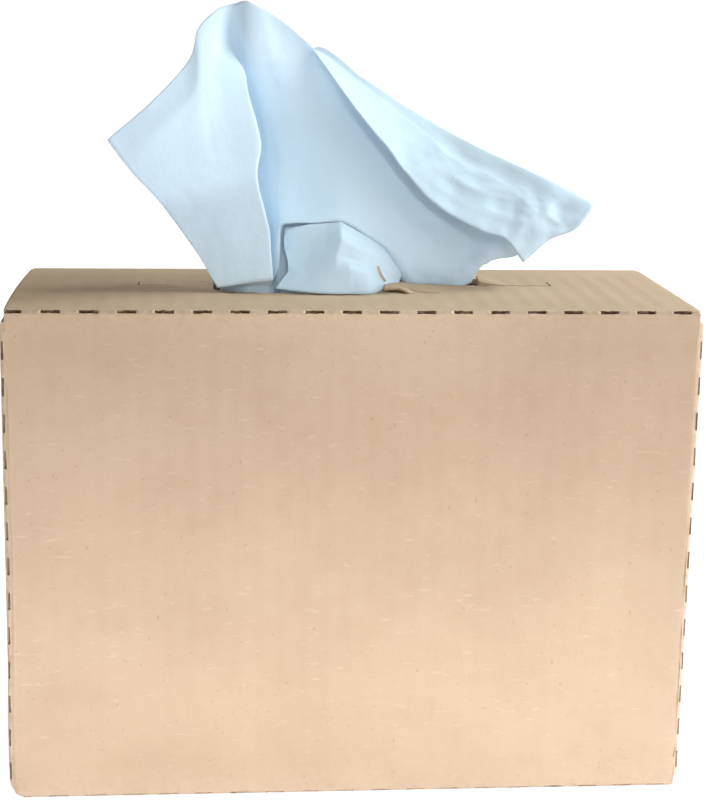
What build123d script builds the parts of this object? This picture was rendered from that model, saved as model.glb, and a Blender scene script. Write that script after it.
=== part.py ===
from build123d import *
import os
from math import atan2, degrees, floor

# A corrugated carton of pop-up wipes, standing on its bottom panel.
# Millimetres, +Z up, +X to the right of someone facing the front, +Y to the back.
# The origin is the middle of the bottom face.

# Carton, outside sizes when closed
carton_width = 241.0
carton_depth = 98.0
carton_height = 177.0
board = 4.0               # thickness of the corrugated board
fold_radius = 2.0         # outside radius of a folded bridge between two slits
panel_inset = 1.7         # top and bottom panels stop this far short of each end
raw_edge_drop = 0.5       # raw edges of the back wall lie this far inside the closures

# Flaps inside the carton
dust_flap_margin = 2.0    # dust flaps from the end walls stop this far outside the slot
flap_gap = 1.0            # between a flap and the wall or flap beside it
tuck_flap_height = 34.0   # rear flap of the top and bottom panels, glued inside the back wall
lap_width = 30.0          # glue lap that closes the sleeve, inside the right end wall

# Slits that let the board fold: one slit and one bridge to each pitch
slit_pitch = 12.7
slit_length = 6.4
slit_opening = 1.3
slit_depth = 2.9          # measured inwards from the square corner
width_slit_start = 4.4    # centre of the first slit, from the left corner
height_slit_start = 13.9  # centre of the first slit, down from the top
depth_slit_start = 3.6    # centre of the first slit, from the back

# Perforated slot in the top panel, torn open in its middle
slot_length = 153.5
slot_width = 7.5
slot_back = 9.0           # slot's centre line, behind the middle of the carton
kerf = 0.7                # width of a cut in the board
nick_length = 2.4         # length of a cut in the part that is still perforated
nick_pitch = 6.5
mouth_length = 98.0       # torn part of the slot
tear_reach = 13.5         # how far the tear runs forward of the slot
tear_back = 1.6           # how far it runs behind the slot
tongue_length = 32.0      # strip of board left standing at the right of the mouth
tongue_lift = 6.0         # degrees that the strip is bent up
tail_length = 11.0        # end of the slot's own strip, bent up beside the mouth
tail_lift = 8.0           # degrees

# Crushed corner at the front, left, bottom
crush_width = 6.0
crush_height = 8.0
crush_depth = 26.0

# Wipes
wipe_width = 229.0        # along the leading edge, which stands up in a peak
ply_gap = 0.5             # clearance of the stack to the carton
headroom = 15.5           # under the top panel, above the stack
bundle_fold = 6.0         # height of one rounded bundle of folds on the stack's long sides
fold_relief = 1.0         # depth of the line between two bundles
wipe_thickness = 1.2      # of a drawn wipe, its plies taken together
wipe_clearance = 0.5      # between a drawn wipe and the torn board
wipe_rest = 0.3           # between a drawn wipe's tail and the stack that it lies on


half_width = carton_width / 2
half_depth = carton_depth / 2
inner_half_width = half_width - board
inner_half_depth = half_depth - board
front = -half_depth
back = half_depth
stack_bottom = 2 * board
stack_top = carton_height - board - headroom
mouth_half = mouth_length / 2
slot_front_y = slot_back - slot_width / 2
slot_back_y = slot_back + slot_width / 2


def span_box(x0, x1, y0, y1, z0, z1):
    """A box between two corners."""
    size = (x1 - x0, y1 - y0, z1 - z0)
    return Pos((x0 + x1) / 2, (y0 + y1) / 2, (z0 + z1) / 2) * Box(*size)


def prism(points, z0, z1):
    """A closed outline in plan, carried up from z0 to z1."""
    outline = Wire.make_polygon([(x, y, z0) for x, y in points], close=True)
    return extrude(Face(outline), amount=z1 - z0, dir=(0, 0, 1))


def edges_at(solid, axis, **places):
    """Straight edges along one axis, at the given places on the other axes."""
    chosen = solid.edges().filter_by(axis)
    for name, places_on_axis in places.items():
        chosen = [
            edge for edge in chosen
            if any(abs(getattr(edge.center(), name) - place) < 0.01 for place in places_on_axis)
        ]
    return chosen


# Carton

def closure_block():
    """Front wall with the top and bottom panels folded from it, still solid inside."""
    reach = half_width - panel_inset
    block = span_box(-reach, reach, front, back - board, 0, carton_height)
    return fillet(edges_at(block, Axis.X), fold_radius)


def sleeve_block():
    """Four walls between the end walls' own folds, still solid inside."""
    low = board
    high = carton_height - board
    block = span_box(-half_width, half_width, front, back, low, high)
    upright = edges_at(block, Axis.Z)
    end_folds = edges_at(block, Axis.Y)
    return fillet(upright + end_folds, fold_radius)


def back_wall_edges():
    """The back wall's raw top and bottom edges, beyond the end walls' folds."""
    reach = half_width - panel_inset
    low = raw_edge_drop
    high = carton_height - raw_edge_drop
    return span_box(-reach, reach, back - board, back, low, high)


def dust_flap(side, level):
    """Flap folded in from one end wall, under the top panel or over the bottom one."""
    tip = slot_length / 2 + dust_flap_margin
    y0 = -inner_half_depth + flap_gap
    y1 = inner_half_depth - board - flap_gap
    x0, x1 = sorted((side * tip, side * inner_half_width))
    return span_box(x0, x1, y0, y1, level, level + board)


def tuck_flap(bottom_end):
    """Rear flap of a closure, glued to the inside of the back wall."""
    x0 = -inner_half_width + flap_gap
    x1 = inner_half_width - board - flap_gap
    y1 = inner_half_depth
    low = board if bottom_end else carton_height - board - tuck_flap_height
    return span_box(x0, x1, y1 - board, y1, low, low + tuck_flap_height)


def glue_lap():
    """Lap folded from the back wall and glued inside the right end wall."""
    x1 = inner_half_width
    y1 = inner_half_depth
    low = 2 * board + flap_gap
    high = carton_height - low
    return span_box(x1 - board, x1, y1 - lap_width, y1, low, high)


def slit_places(start, length):
    """Centres of the slits along a fold of this length."""
    first = start - slit_pitch * floor(start / slit_pitch)
    count = int((length - first) / slit_pitch) + 1
    return [first + slit_pitch * index for index in range(count)]


def slit_cutter(centre, along, outward):
    """One slit, cut inwards at 45 degrees from the square corner of a fold."""
    outer = fold_radius
    tool = Box(slit_length, slit_opening, slit_depth + outer)
    tool = Pos(0, 0, (outer - slit_depth) / 2) * tool
    place = Plane(origin=centre, x_dir=along, z_dir=outward)
    return place * tool


def slit_cutters():
    """Slits of the twelve folds; the end walls' folds lie one board inside the closures."""
    tools = []
    reach = half_width - panel_inset
    for x in slit_places(width_slit_start, carton_width):
        x -= half_width
        if abs(x) + slit_length / 4 > reach:
            continue
        for z, up in ((carton_height, 1), (0, -1)):
            tools.append(slit_cutter((x, front, z), (1, 0, 0), (0, -1, up)))
            tools.append(slit_cutter((x, back - board, z), (1, 0, 0), (0, 1, up)))
    for drop in slit_places(height_slit_start, carton_height - board - slit_length):
        z = carton_height - drop
        if z > carton_height - board - slit_length / 2:
            continue
        for x, right in ((-half_width, -1), (half_width, 1)):
            for y, rear in ((front, -1), (back, 1)):
                tools.append(slit_cutter((x, y, z), (0, 0, 1), (right, rear, 0)))
    for inset in slit_places(depth_slit_start, carton_depth):
        y = back - inset
        for z, up in ((carton_height - board, 1), (board, -1)):
            for x, right in ((-half_width, -1), (half_width, 1)):
                tools.append(slit_cutter((x, y, z), (0, 1, 0), (right, 0, up)))
    return tools


def mouth_front():
    """Front edge of the torn mouth in plan, from left to right."""
    y = slot_front_y
    return [
        (-1.00 * mouth_half, y - 0.25 * tear_reach),
        (-0.80 * mouth_half, y - 0.60 * tear_reach),
        (-0.44 * mouth_half, y - 0.80 * tear_reach),
        (-0.20 * mouth_half, y - 0.92 * tear_reach),
        (0.04 * mouth_half, y - tear_reach),
        (0.25 * mouth_half, y - 0.85 * tear_reach),
        (0.34 * mouth_half, y - 0.40 * tear_reach),
        (0.55 * mouth_half, y - 0.10 * tear_reach),
        (0.85 * mouth_half, y),
        (1.00 * mouth_half, y),
    ]


def mouth_back():
    """Back edge of the torn mouth in plan, from right to left."""
    return [
        (1.02 * mouth_half, slot_back_y),
        (0.60 * mouth_half, slot_back_y + tear_back),
        (0.10 * mouth_half, slot_back_y + 0.5 * tear_back),
        (-0.45 * mouth_half, slot_back_y + tear_back),
        (-1.00 * mouth_half, slot_back_y),
    ]


def mouth_place(across, through):
    """Place in the mouth for a wipe: shares of its half length and of its free width."""
    x = across * mouth_half
    spans = zip(mouth_front(), mouth_front()[1:])
    (x0, y0), (x1, y1) = next(span for span in spans if span[0][0] <= x <= span[1][0])
    front_y = y0 + (y1 - y0) * (x - x0) / (x1 - x0)
    margin = wipe_clearance + wipe_thickness / 2
    free = slot_back_y - front_y - 2 * margin
    return x, front_y + margin + through * free


def tongue_outline():
    """Strip of board between the tear's right branch and the slot."""
    left = 0.27 * mouth_half
    right = left + tongue_length
    branch = slot_front_y - 1.3 * tear_reach
    return [
        (left, slot_front_y - 0.82 * tear_reach),
        (left + 0.30 * tongue_length, slot_front_y - 1.1 * tear_reach),
        (left + 0.62 * tongue_length, branch),
        (right, slot_front_y - 0.1),
        (left + 0.55 * tongue_length, slot_front_y - 0.20 * tear_reach),
        (left + 0.12 * tongue_length, slot_front_y - 0.48 * tear_reach),
    ]


def bend_up(plate, hinge_start, hinge_end, angle):
    """Turn a strip of board about a line in plan, its free end going up."""
    start = Vector(*hinge_start, carton_height - board)
    along = Vector(*hinge_end, carton_height - board) - start
    return plate.rotate(Axis(start, along), angle)


def tongue():
    """The strip beside the mouth, standing up from its uncut right end."""
    outline = tongue_outline()
    plate = prism(outline, carton_height - board, carton_height)
    return bend_up(plate, outline[2], outline[3], tongue_lift)


def tail_outline():
    """Left end of the slot's own strip, right of the mouth."""
    left = mouth_half
    return [
        (left, slot_front_y),
        (left + tail_length, slot_front_y),
        (left + tail_length, slot_back_y),
        (left, slot_back_y),
    ]


def tail():
    """The slot's own strip, bent up where the wipes push it."""
    outline = tail_outline()
    plate = prism(outline, carton_height - board, carton_height)
    return bend_up(plate, outline[1], outline[2], tail_lift)


def slot_cutters():
    """Mouth, the cut front line and round ends of the slot, and the nicks still uncut."""
    low = carton_height - 1.5 * board
    high = carton_height + 0.5 * board
    slot_half = slot_length / 2
    tools = [prism(mouth_front() + mouth_back(), low, high)]
    tools.append(prism(tongue_outline(), low, high))
    tools.append(prism(tail_outline(), low, high))
    tail_start = mouth_half + tail_length
    y = slot_front_y
    tools.append(span_box(tail_start, slot_half, y - kerf / 2, y + kerf / 2, low, high))
    tools.append(span_box(-slot_half, -0.85 * slot_half, y - kerf / 2, y + kerf / 2, low, high))
    for side in (-1, 1):
        x0, x1 = sorted((side * slot_half, side * (slot_half - kerf)))
        tools.append(span_box(x0, x1, y, slot_back - kerf, low, high))
        tools.append(span_box(x0, x1, slot_back + kerf, slot_back_y, low, high))
    count = int((slot_half - mouth_half) / nick_pitch)
    for index in range(count):
        x = -slot_half + nick_pitch * (index + 0.5)
        y = slot_back_y
        x1 = x + nick_length
        tools.append(span_box(x, x1, y - kerf / 2, y + kerf / 2, low, high))
    return tools


def crushed_corner():
    """Wedge taken off the front, left, bottom corner where it was knocked in."""
    left = -half_width
    outline = Polyline(
        (left - crush_width, -1),
        (left + crush_width, -1),
        (left + 0.8 * crush_width, 0),
        (left + 0.28 * crush_width, 0.32 * crush_height),
        (left, crush_height),
        (left - crush_width, crush_height),
        close=True,
    )
    wedge = Pos(0, front, 0) * extrude(make_face(Plane.XZ * outline), amount=crush_depth, dir=(0, 1, 0))
    taper = degrees(atan2(crush_width, crush_depth))
    return wedge.rotate(Axis((left, front, 0), (0, 0, 1)), taper)


def carton():
    """One folded and glued blank: walls, closures, flaps, slits and the torn slot."""
    shell = closure_block() + sleeve_block() + back_wall_edges()
    shell -= span_box(
        -inner_half_width, inner_half_width,
        -inner_half_depth, inner_half_depth,
        board, carton_height - board,
    )
    for side in (-1, 1):
        shell += dust_flap(side, carton_height - 2 * board)
        shell += dust_flap(side, board)
    shell += tuck_flap(bottom_end=True)
    shell += tuck_flap(bottom_end=False)
    shell += glue_lap()
    shell -= slot_cutters()
    shell -= slit_cutters()
    shell -= crushed_corner()
    shell += tongue()
    shell += tail()
    return shell


# Wipes

def curve_point(p0, p1, p2, p3, share):
    """Point on the smooth curve from p1 to p2, with its neighbours p0 and p3."""
    square = share * share
    cube = square * share
    return (
        p1 * (1 - 2.5 * square + 1.5 * cube)
        + p2 * (0.5 * share + 2 * square - 1.5 * cube)
        + p3 * (0.5 * cube - 0.5 * square)
        + p0 * (square - 0.5 * share - 0.5 * cube)
    )


def smooth_line(points, steps):
    """A line of points with steps times as many spans, through the first ones."""
    ends = [points[0] * 2 - points[1]] + list(points) + [points[-1] * 2 - points[-2]]
    line = []
    for index in range(1, len(ends) - 2):
        for step in range(steps):
            line.append(curve_point(*ends[index - 1:index + 3], step / steps))
    line.append(points[-1])
    return line


def smooth_net(net, steps):
    """Both directions of a net of points made finer."""
    columns = [smooth_line(column, steps) for column in net]
    rows = [smooth_line(row, steps) for row in zip(*columns)]
    return rows


def net_normal(net, i, j):
    """Direction square to a net of points at one of them."""
    last_i = len(net) - 1
    last_j = len(net[0]) - 1
    across = net[min(i + 1, last_i)][j] - net[max(i - 1, 0)][j]
    down = net[i][min(j + 1, last_j)] - net[i][max(j - 1, 0)]
    return across.cross(down).normalized()


def triangle(a, b, c):
    """Flat three-cornered face."""
    return Face(Wire.make_polygon([a, b, c], close=True))


def sheet_solid(net, thickness):
    """Closed solid of one thickness about a net of points."""
    half = thickness / 2
    near = []
    far = []
    for i, row in enumerate(net):
        normals = [net_normal(net, i, j) for j in range(len(row))]
        near.append([point + normal * half for point, normal in zip(row, normals)])
        far.append([point - normal * half for point, normal in zip(row, normals)])
    faces = []
    rows = len(net)
    columns = len(net[0])
    for i in range(rows - 1):
        for j in range(columns - 1):
            for side in (near, far):
                a, b, c, d = side[i][j], side[i + 1][j], side[i + 1][j + 1], side[i][j + 1]
                faces += [triangle(a, b, c), triangle(a, c, d)]
    rim = [(i, 0) for i in range(rows)]
    rim += [(rows - 1, j) for j in range(1, columns)]
    rim += [(i, columns - 1) for i in range(rows - 2, -1, -1)]
    rim += [(0, j) for j in range(columns - 2, -1, -1)]
    for (i0, j0), (i1, j1) in zip(rim, rim[1:]):
        faces.append(triangle(near[i0][j0], near[i1][j1], far[i1][j1]))
        faces.append(triangle(near[i0][j0], far[i1][j1], far[i0][j0]))
    return Solid(Shell(faces))


def above_top(points):
    """Points of a drape taken on a wipe 229 wide, with their height above the top panel."""
    size = wipe_width / 229
    return [Vector(x * size, y * size, carton_height + z * size) for x, y, z in points]


def below_mouth(x, y, tail_y, spread):
    """A drawn wipe's way down through the mouth to the stack, where it lies back on it."""
    lying = stack_top + wipe_rest + wipe_thickness / 2
    under = carton_height - board - wipe_thickness
    drop = under - lying
    return [
        Vector(x, y, carton_height - board / 2),
        Vector(x, y, under),
        Vector(x * (1 + 0.25 * spread), y + 0.22 * (tail_y - y), lying + 0.42 * drop),
        Vector(x * (1 + 0.60 * spread), y + 0.55 * (tail_y - y), lying + 0.10 * drop),
        Vector(x * (1 + spread), tail_y, lying),
    ]


def drawn_wipe(lines, tail_y, spread):
    """Solid of a wipe drawn through the mouth. Each line gives points from its top
    edge down, then its place in the mouth as shares of the mouth's own size."""
    net = []
    for points, place in lines:
        x, y = mouth_place(*place)
        rim = [Vector(x, y, carton_height + wipe_thickness)]
        net.append(above_top(points) + rim + below_mouth(x, y, tail_y, spread))
    return sheet_solid(smooth_net(net, 2), wipe_thickness)


def popped_wipe():
    """The wipe that stands ready: a lobe at the left, a hollow middle, and a strip
    at the right that is folded forward over it."""
    lines = [
        ([(-85, -17, 54), (-75, -16, 40), (-60, -14, 23)], (-0.95, 0.05)),
        ([(-71, -13, 68), (-65, -15, 49), (-55, -13, 26)], (-0.88, 0.02)),
        ([(-57, -4, 82), (-55, -12, 59), (-49, -12, 32)], (-0.77, 0.02)),
        ([(-49, 5, 98), (-47, -7, 71), (-40, -10, 39)], (-0.67, 0.03)),
        ([(-41, 12, 101), (-38, -2, 72), (-31, -9, 38)], (-0.58, 0.08)),
        ([(-38, 15, 101), (-40, 10, 69), (-36, 3, 35)], (-0.60, 0.38)),
        ([(-35, 17, 101), (-31, 18, 68), (-24, 14, 32)], (-0.48, 0.70)),
        ([(-26, 18, 97), (-19, 21, 67), (-12, 17, 32)], (-0.26, 0.87)),
        ([(-13, 14, 86), (-6, 22, 67), (0, 21, 45)], (0.00, 0.92)),
        ([(-2, 10, 71), (7, 20, 74), (13, 20, 39)], (0.26, 0.92)),
        ([(13, 7, 54), (27, 18, 61), (25, 17, 32)], (0.46, 0.85)),
        ([(29, 2, 33), (50, 15, 49), (37, 13, 24)], (0.63, 0.65)),
        ([(50, -3, 21), (70, 12, 41), (48, 12, 18)], (0.77, 0.50)),
        ([(58, -5, 18), (82, 10, 35), (58, 11, 16)], (0.85, 0.45)),
        ([(65, -6, 11), (92, 8, 30), (62, 10, 11)], (0.92, 0.50)),
    ]
    tail_y = inner_half_depth - board - 2 * flap_gap
    return drawn_wipe(lines, tail_y, spread=1.0)


def next_wipe():
    """The wipe after it, drawn up into a crumpled lump in front of its hollow."""
    lines = [
        ([(-20, 4, 21), (-21, 0, 9)], (-0.50, 0.06)),
        ([(-16, 2, 22), (-17, -4, 10)], (-0.38, 0.04)),
        ([(-10, 3, 23), (-11, -5, 12)], (-0.22, 0.02)),
        ([(-3, 4, 23), (-4, -6, 11)], (-0.04, 0.02)),
        ([(2, 6, 20), (3, -4, 10)], (0.10, 0.06)),
        ([(10, 8, 16), (11, -1, 8)], (0.20, 0.14)),
        ([(16, 10, 12), (14, 4, 6)], (0.23, 0.42)),
    ]
    tail_y = -inner_half_depth + 2 * flap_gap
    return drawn_wipe(lines, tail_y, spread=3.0)


def wipe_stack():
    """The folded wipes still in the carton, one solid with rounded bundles of folds."""
    x0 = -inner_half_width + ply_gap
    x1 = inner_half_width - board - ply_gap
    y0 = -inner_half_depth + ply_gap
    y1 = inner_half_depth - board - ply_gap
    count = max(1, round((stack_top - stack_bottom) / bundle_fold))
    step = (stack_top - stack_bottom) / count
    levels = [stack_bottom + step * index for index in range(count + 1)]
    front_side = [
        ThreePointArc((y0 + fold_relief, low), (y0, (low + high) / 2), (y0 + fold_relief, high))
        for low, high in zip(levels, levels[1:])
    ]
    back_side = [
        ThreePointArc((y1 - fold_relief, low), (y1, (low + high) / 2), (y1 - fold_relief, high))
        for low, high in zip(levels, levels[1:])
    ]
    bottom = Line((y0 + fold_relief, stack_bottom), (y1 - fold_relief, stack_bottom))
    top = Line((y0 + fold_relief, stack_top), (y1 - fold_relief, stack_top))
    outline = make_face(Plane.YZ * Curve(front_side + back_side + [bottom, top]))
    return Pos(x0, 0, 0) * extrude(outline, amount=x1 - x0, dir=(1, 0, 0))


PIECES = {
    "carton": carton,
    "wipe_stack": wipe_stack,
    "next_wipe": next_wipe,
    "popped_wipe": popped_wipe,
}

os.makedirs("parts", exist_ok=True)
for name, make in PIECES.items():
    piece = make()
    export_step(piece, "parts/" + name + ".step")
    print(name, round(piece.volume), "mm3")
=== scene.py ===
# %% [markdown]
# # A carton of pop-up wipes
# The real thing is one sheet of brown corrugated board, slit along its folds, folded and glued
# into a box. Inside lies a pack of pale blue wipes. One wipe stands up through a torn slot in
# the top, and the next one is already drawn up in front of it.
# The working shape comes in first, as solids. Then each piece gets its own mesh and finish.

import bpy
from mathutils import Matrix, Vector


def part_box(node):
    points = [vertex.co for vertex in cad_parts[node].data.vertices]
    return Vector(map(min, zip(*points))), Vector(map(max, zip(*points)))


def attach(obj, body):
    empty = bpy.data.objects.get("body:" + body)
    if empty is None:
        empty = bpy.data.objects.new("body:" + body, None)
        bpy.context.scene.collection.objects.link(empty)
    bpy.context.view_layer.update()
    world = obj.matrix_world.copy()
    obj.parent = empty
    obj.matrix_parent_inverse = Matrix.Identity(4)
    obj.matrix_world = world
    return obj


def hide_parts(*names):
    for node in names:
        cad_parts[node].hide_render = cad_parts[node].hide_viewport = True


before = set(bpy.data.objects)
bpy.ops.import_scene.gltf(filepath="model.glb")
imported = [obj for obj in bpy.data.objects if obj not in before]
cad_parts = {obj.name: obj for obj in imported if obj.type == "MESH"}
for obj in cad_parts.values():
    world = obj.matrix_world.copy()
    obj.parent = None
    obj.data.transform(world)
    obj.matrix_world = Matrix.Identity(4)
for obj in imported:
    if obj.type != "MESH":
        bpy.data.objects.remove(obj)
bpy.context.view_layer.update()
mm = 0.001

def in_mm(places):
    """Places in metres as rounded millimetres."""
    return [[round(c / mm, 1) for c in place] for place in places]

print("nodes:", sorted(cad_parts))

# %% [markdown]
# ## The camera
# A photo taken from a little above and left of the middle shows the carton like this. The
# slits, evenly spaced along every fold, gave the camera's place and lens. The same camera
# then turns a pixel of the photo and a depth into a place on the object, so that a limp wipe
# can be laid out.

# %% Place the camera
import math
import bpy
from mathutils import Matrix
from mathutils import Vector

photo_width = 706
photo_height = 800
focal_pixels = 1727.3
sensor_length = 36.0
camera_place = Vector((-46.8, -625.6, 277.5)) * mm
camera_turn = math.radians(-4.53)
camera_dip = math.radians(12.82)
camera_roll = math.radians(0.88)

level = Matrix.Rotation(math.radians(90) - camera_dip, 4, "X")
turned = Matrix.Rotation(camera_turn, 4, "Z") @ level @ Matrix.Rotation(camera_roll, 4, "Z")
lens = bpy.data.cameras.new("camera")
lens.lens = focal_pixels * sensor_length / photo_height
lens.sensor_width = sensor_length
camera = bpy.data.objects.new("camera", lens)
camera.matrix_world = Matrix.Translation(camera_place) @ turned
scene = bpy.context.scene
scene.collection.objects.link(camera)
scene.camera = camera
print("lens in mm:", round(lens.lens, 2))

# %% Turn a pixel and a depth into a place
def photo_place(across, down, depth):
    """Place seen at a pixel of the photo, at this depth behind the carton's middle, in mm."""
    x = (across - photo_width / 2) / focal_pixels
    y = (photo_height / 2 - down) / focal_pixels
    ray = turned.to_3x3() @ Vector((x, y, -1))
    reach = (depth * mm - camera_place.y) / ray.y
    return camera_place + ray * reach

lobe_corner = photo_place(108, 140, -17)
print("lobe's corner in mm:", in_mm([lobe_corner])[0])

# %% [markdown]
# ## Light, floor and backdrop
# The photo has its light from the right: it brightens the top panel's right part and leaves
# the wipe's straight-edged shadow on the left. The rest is soft light from a warm room.
# Two sun lamps with wide angles, one a little behind the other, give that shadow its soft
# edge. A square lamp near the right end fades over the top panel, which a far one can't do.
# A low one at the right and a weak one above the mouth bring out the facets of the wipes.
# The world gives the soft light. Large lamps in front, at the left and behind fill the walls
# and shine through the cloth, and a spot brings up the foot of the wipes. A low strip in
# front makes the front panel brighter at its foot.
# The view is set to Standard, so that a colour renders about as it is written.

# %% Set the view and the world
scene.view_settings.view_transform = "Standard"
world_strength = 0.20
warm_room = (1.0, 0.86, 0.70)

world = bpy.data.worlds.new("room")
scene.world = world
world.use_nodes = True
room = world.node_tree
room.nodes.clear()
room_light = room.nodes.new("ShaderNodeBackground")
room_light.inputs["Color"].default_value = (*warm_room, 1)
room_light.inputs["Strength"].default_value = world_strength
room_seen = room.nodes.new("ShaderNodeBackground")
room_seen.inputs["Color"].default_value = (1, 1, 1, 1)
room_choice = room.nodes.new("ShaderNodeMixShader")
room_out = room.nodes.new("ShaderNodeOutputWorld")

def seen_rays(tree):
    """1 for rays that see a background: the camera's, mirrored ones and those through glass."""
    path = tree.nodes.new("ShaderNodeLightPath")
    total = path.outputs["Is Camera Ray"]
    for kind in ("Is Glossy Ray", "Is Transmission Ray"):
        either = tree.nodes.new("ShaderNodeMath")
        either.operation = "MAXIMUM"
        tree.links.new(total, either.inputs[0])
        tree.links.new(path.outputs[kind], either.inputs[1])
        total = either.outputs["Value"]
    return total

room.links.new(seen_rays(room), room_choice.inputs["Fac"])
room.links.new(room_light.outputs["Background"], room_choice.inputs[1])
room.links.new(room_seen.outputs["Background"], room_choice.inputs[2])
room.links.new(room_choice.outputs["Shader"], room_out.inputs["Surface"])
print("world strength:", world_strength)

# %% Hang the suns
def hang_lamp(name, kind, strength, towards, place=(0, 0, 0)):
    """A lamp at a place, whose light comes from the direction named by towards."""
    lamp = bpy.data.lights.new(name, kind)
    lamp.energy = strength
    holder = bpy.data.objects.new(name, lamp)
    aim = Vector(towards).to_track_quat("Z", "Y").to_matrix().to_4x4()
    holder.matrix_world = Matrix.Translation(Vector(place)) @ aim
    scene.collection.objects.link(holder)
    holder.visible_camera = False
    return lamp

def hang_sun(name, strength, turn, height, angle, colour):
    """A sun at a turn from the front towards the right, and a height, both in degrees."""
    turn, height = math.radians(turn), math.radians(height)
    level = math.cos(height)
    towards = (level * math.sin(turn), -level * math.cos(turn), math.sin(height))
    sun = hang_lamp(name, "SUN", strength, towards)
    sun.angle = math.radians(angle)
    sun.color = colour

sunlight = (0.89, 1.0, 1.0)
sun_height = 41
hang_sun("sun_through_window", 0.47, 80, sun_height, 9, sunlight)
hang_sun("sun_from_behind", 0.60, 108, sun_height, 12, sunlight)

# %% Hang the flat lamps and the spot
def hang_panel(name, strength, towards, place, size, colour):
    """A flat lamp, its width and height in metres."""
    lamp = hang_lamp(name, "AREA", strength, towards, place)
    lamp.shape = "RECTANGLE"
    lamp.size, lamp.size_y = size
    lamp.color = colour

white = (0.93, 1.0, 1.0)
warm_white = (1.0, 0.92, 0.85)
cool_white = (0.98, 0.92, 1.0)
foot_white = (0.90, 0.92, 1.0)
hang_panel("right_panel", 2.1, (0.42, 0.06, 0.22), (0.45, 0.06, 0.42), (0.3, 0.3), white)
hang_panel("right_low", 1.8, (0.80, -0.30, 0.05), (0.80, -0.35, 0.22), (0.3, 0.2), cool_white)
hang_panel("above_mouth", 0.15, (0.10, -0.12, 0.36), (0.10, -0.13, 0.55), (0.2, 0.2), white)
hang_panel("front_fill", 3.9, (-0.06, -1, 0), (-0.10, -1.60, 0.16), (1.6, 0.3), cool_white)
hang_panel("front_high", 2.4, (0.1, -1, 0.75), (0.15, -1.45, 1.05), (1.4, 0.8), warm_white)
foot_spot = hang_lamp("foot_spot", "SPOT", 10.0, (0.05, -0.70, 0.24), (0.05, -0.70, 0.44))
foot_spot.spot_size = math.radians(9)
foot_spot.spot_blend = 1.0
foot_spot.shadow_soft_size = 0.05
foot_spot.color = white
hang_panel("front_strip", 0.86, (0, -1, 0), (-0.01, -0.20, 0.02), (1.0, 0.04), foot_white)
hang_panel("left_fill", 0.8, (-1, -0.4, 0), (-1.40, -0.56, 0.12), (1.0, 0.5), warm_white)
hang_panel("back_fill", 5.0, (0.06, 1, 0.1), (0.10, 1.45, 0.40), (1.6, 0.5), warm_white)

# %% [markdown]
# ## Helpers for materials
# Each finish is a small tree of nodes. One helper starts a material with its shader, one adds
# a node with its settings, and one cuts noise between two levels, which gives clouds, specks
# and fibres at any scale. Noise needs no picture and follows the mesh from every side.
# The Mix node has sockets for numbers, vectors and colours side by side, under the same
# names, so its colour sockets are picked by their number.

# %% Make nodes
mix_under = 6
mix_over = 7
mix_result = 2

def start_material(name, base, roughness):
    """A material with one main shader, its numbers set on its own sockets."""
    material = bpy.data.materials.new(name)
    material.use_nodes = True
    tree = material.node_tree
    shader = tree.nodes["Principled BSDF"]
    shader.inputs["Base Color"].default_value = (*base, 1)
    shader.inputs["Roughness"].default_value = roughness
    shader.inputs["Specular IOR Level"].default_value = 0.2
    return material, tree, shader

def add(tree, kind, **settings):
    """A node of a tree. A setting named like a socket fills that socket."""
    node = tree.nodes.new("ShaderNode" + kind)
    for name, value in settings.items():
        if name in node.inputs:
            node.inputs[name].default_value = value
        else:
            setattr(node, name, value)
    return node

def arithmetic(tree, operation, first, second):
    """One sum of two values, each a number or a socket."""
    node = add(tree, "Math", operation=operation)
    for value, socket in zip((first, second), node.inputs):
        if isinstance(value, (int, float)):
            socket.default_value = value
        else:
            tree.links.new(value, socket)
    return node.outputs["Value"]

def speckle(tree, place, scale, low, high, most=1.0, detail=2.0, stretch=(1, 1, 1)):
    """Noise cut between two levels: nothing below low, most above high."""
    mapping = add(tree, "Mapping")
    mapping.inputs["Scale"].default_value = stretch
    clouds = add(tree, "TexNoise", Scale=scale, Detail=detail)
    cut = add(tree, "MapRange")
    cut.inputs["From Min"].default_value = low
    cut.inputs["From Max"].default_value = high
    cut.inputs["To Max"].default_value = most
    tree.links.new(place, mapping.inputs["Vector"])
    tree.links.new(mapping.outputs["Vector"], clouds.inputs["Vector"])
    tree.links.new(clouds.outputs["Fac"], cut.inputs["Value"])
    return cut.outputs["Result"]

def tint(tree, amount, under, over):
    """Colour that goes from under to over with an amount. Each is a colour or a socket."""
    mix = add(tree, "Mix", data_type="RGBA")
    tree.links.new(amount, mix.inputs["Factor"])
    for value, socket in ((under, mix.inputs[mix_under]), (over, mix.inputs[mix_over])):
        if isinstance(value, tuple):
            socket.default_value = (*value, 1)
        else:
            tree.links.new(value, socket)
    return mix.outputs[mix_result]

def raise_grain(tree, shader, height, depth, strength):
    """Bump from a height, as deep as depth in metres."""
    bump = add(tree, "Bump", Strength=strength, Distance=depth)
    tree.links.new(height, bump.inputs["Height"])
    tree.links.new(bump.outputs["Normal"], shader.inputs["Normal"])

# %% Floor and backdrop
floor_half_width = 3.0
floor_near = -2.5
floor_far = 1.8
floor_bend = 0.5
backdrop_height = 2.2
bend_steps = 12

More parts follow.
